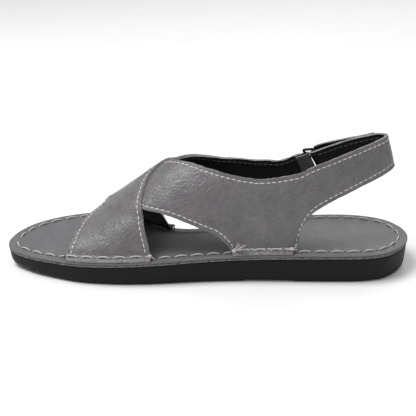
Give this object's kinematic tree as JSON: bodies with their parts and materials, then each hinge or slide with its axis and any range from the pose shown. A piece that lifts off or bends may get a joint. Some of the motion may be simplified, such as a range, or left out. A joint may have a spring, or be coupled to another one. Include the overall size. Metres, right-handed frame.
{
  "type": "cross strap sandal",
  "caption": "Open-toe leather sandal for the left foot, with two straps crossed over the instep, a sling round the heel that closes through a ring, and a flat sole with grooves.",
  "frame": {"origin": "middle of the box in X and Y, on the floor that the sole stands on", "axes": "toe to -X, heel to +X, the wearer's left (outer) side to -Y, inner side to +Y, up +Z"},
  "size_m": [0.256, 0.0843, 0.0856],
  "materials": {
    "black_rubber": "matte moulded rubber",
    "raw_edge_leather": "cut leather edge",
    "footbed_leather": "smooth matte leather",
    "strap_leather": "fine grained soft leather",
    "dark_metal": "dark satin",
    "tab_leather": "soft dark leather"
  },
  "bodies": {
    "root": {"outsole": "black_rubber", "midsole": "raw_edge_leather", "footbed": "footbed_leather", "upper": "strap_leather", "closure_ring": "dark_metal", "ring_tab": "tab_leather"}
  },
  "joints": []
}
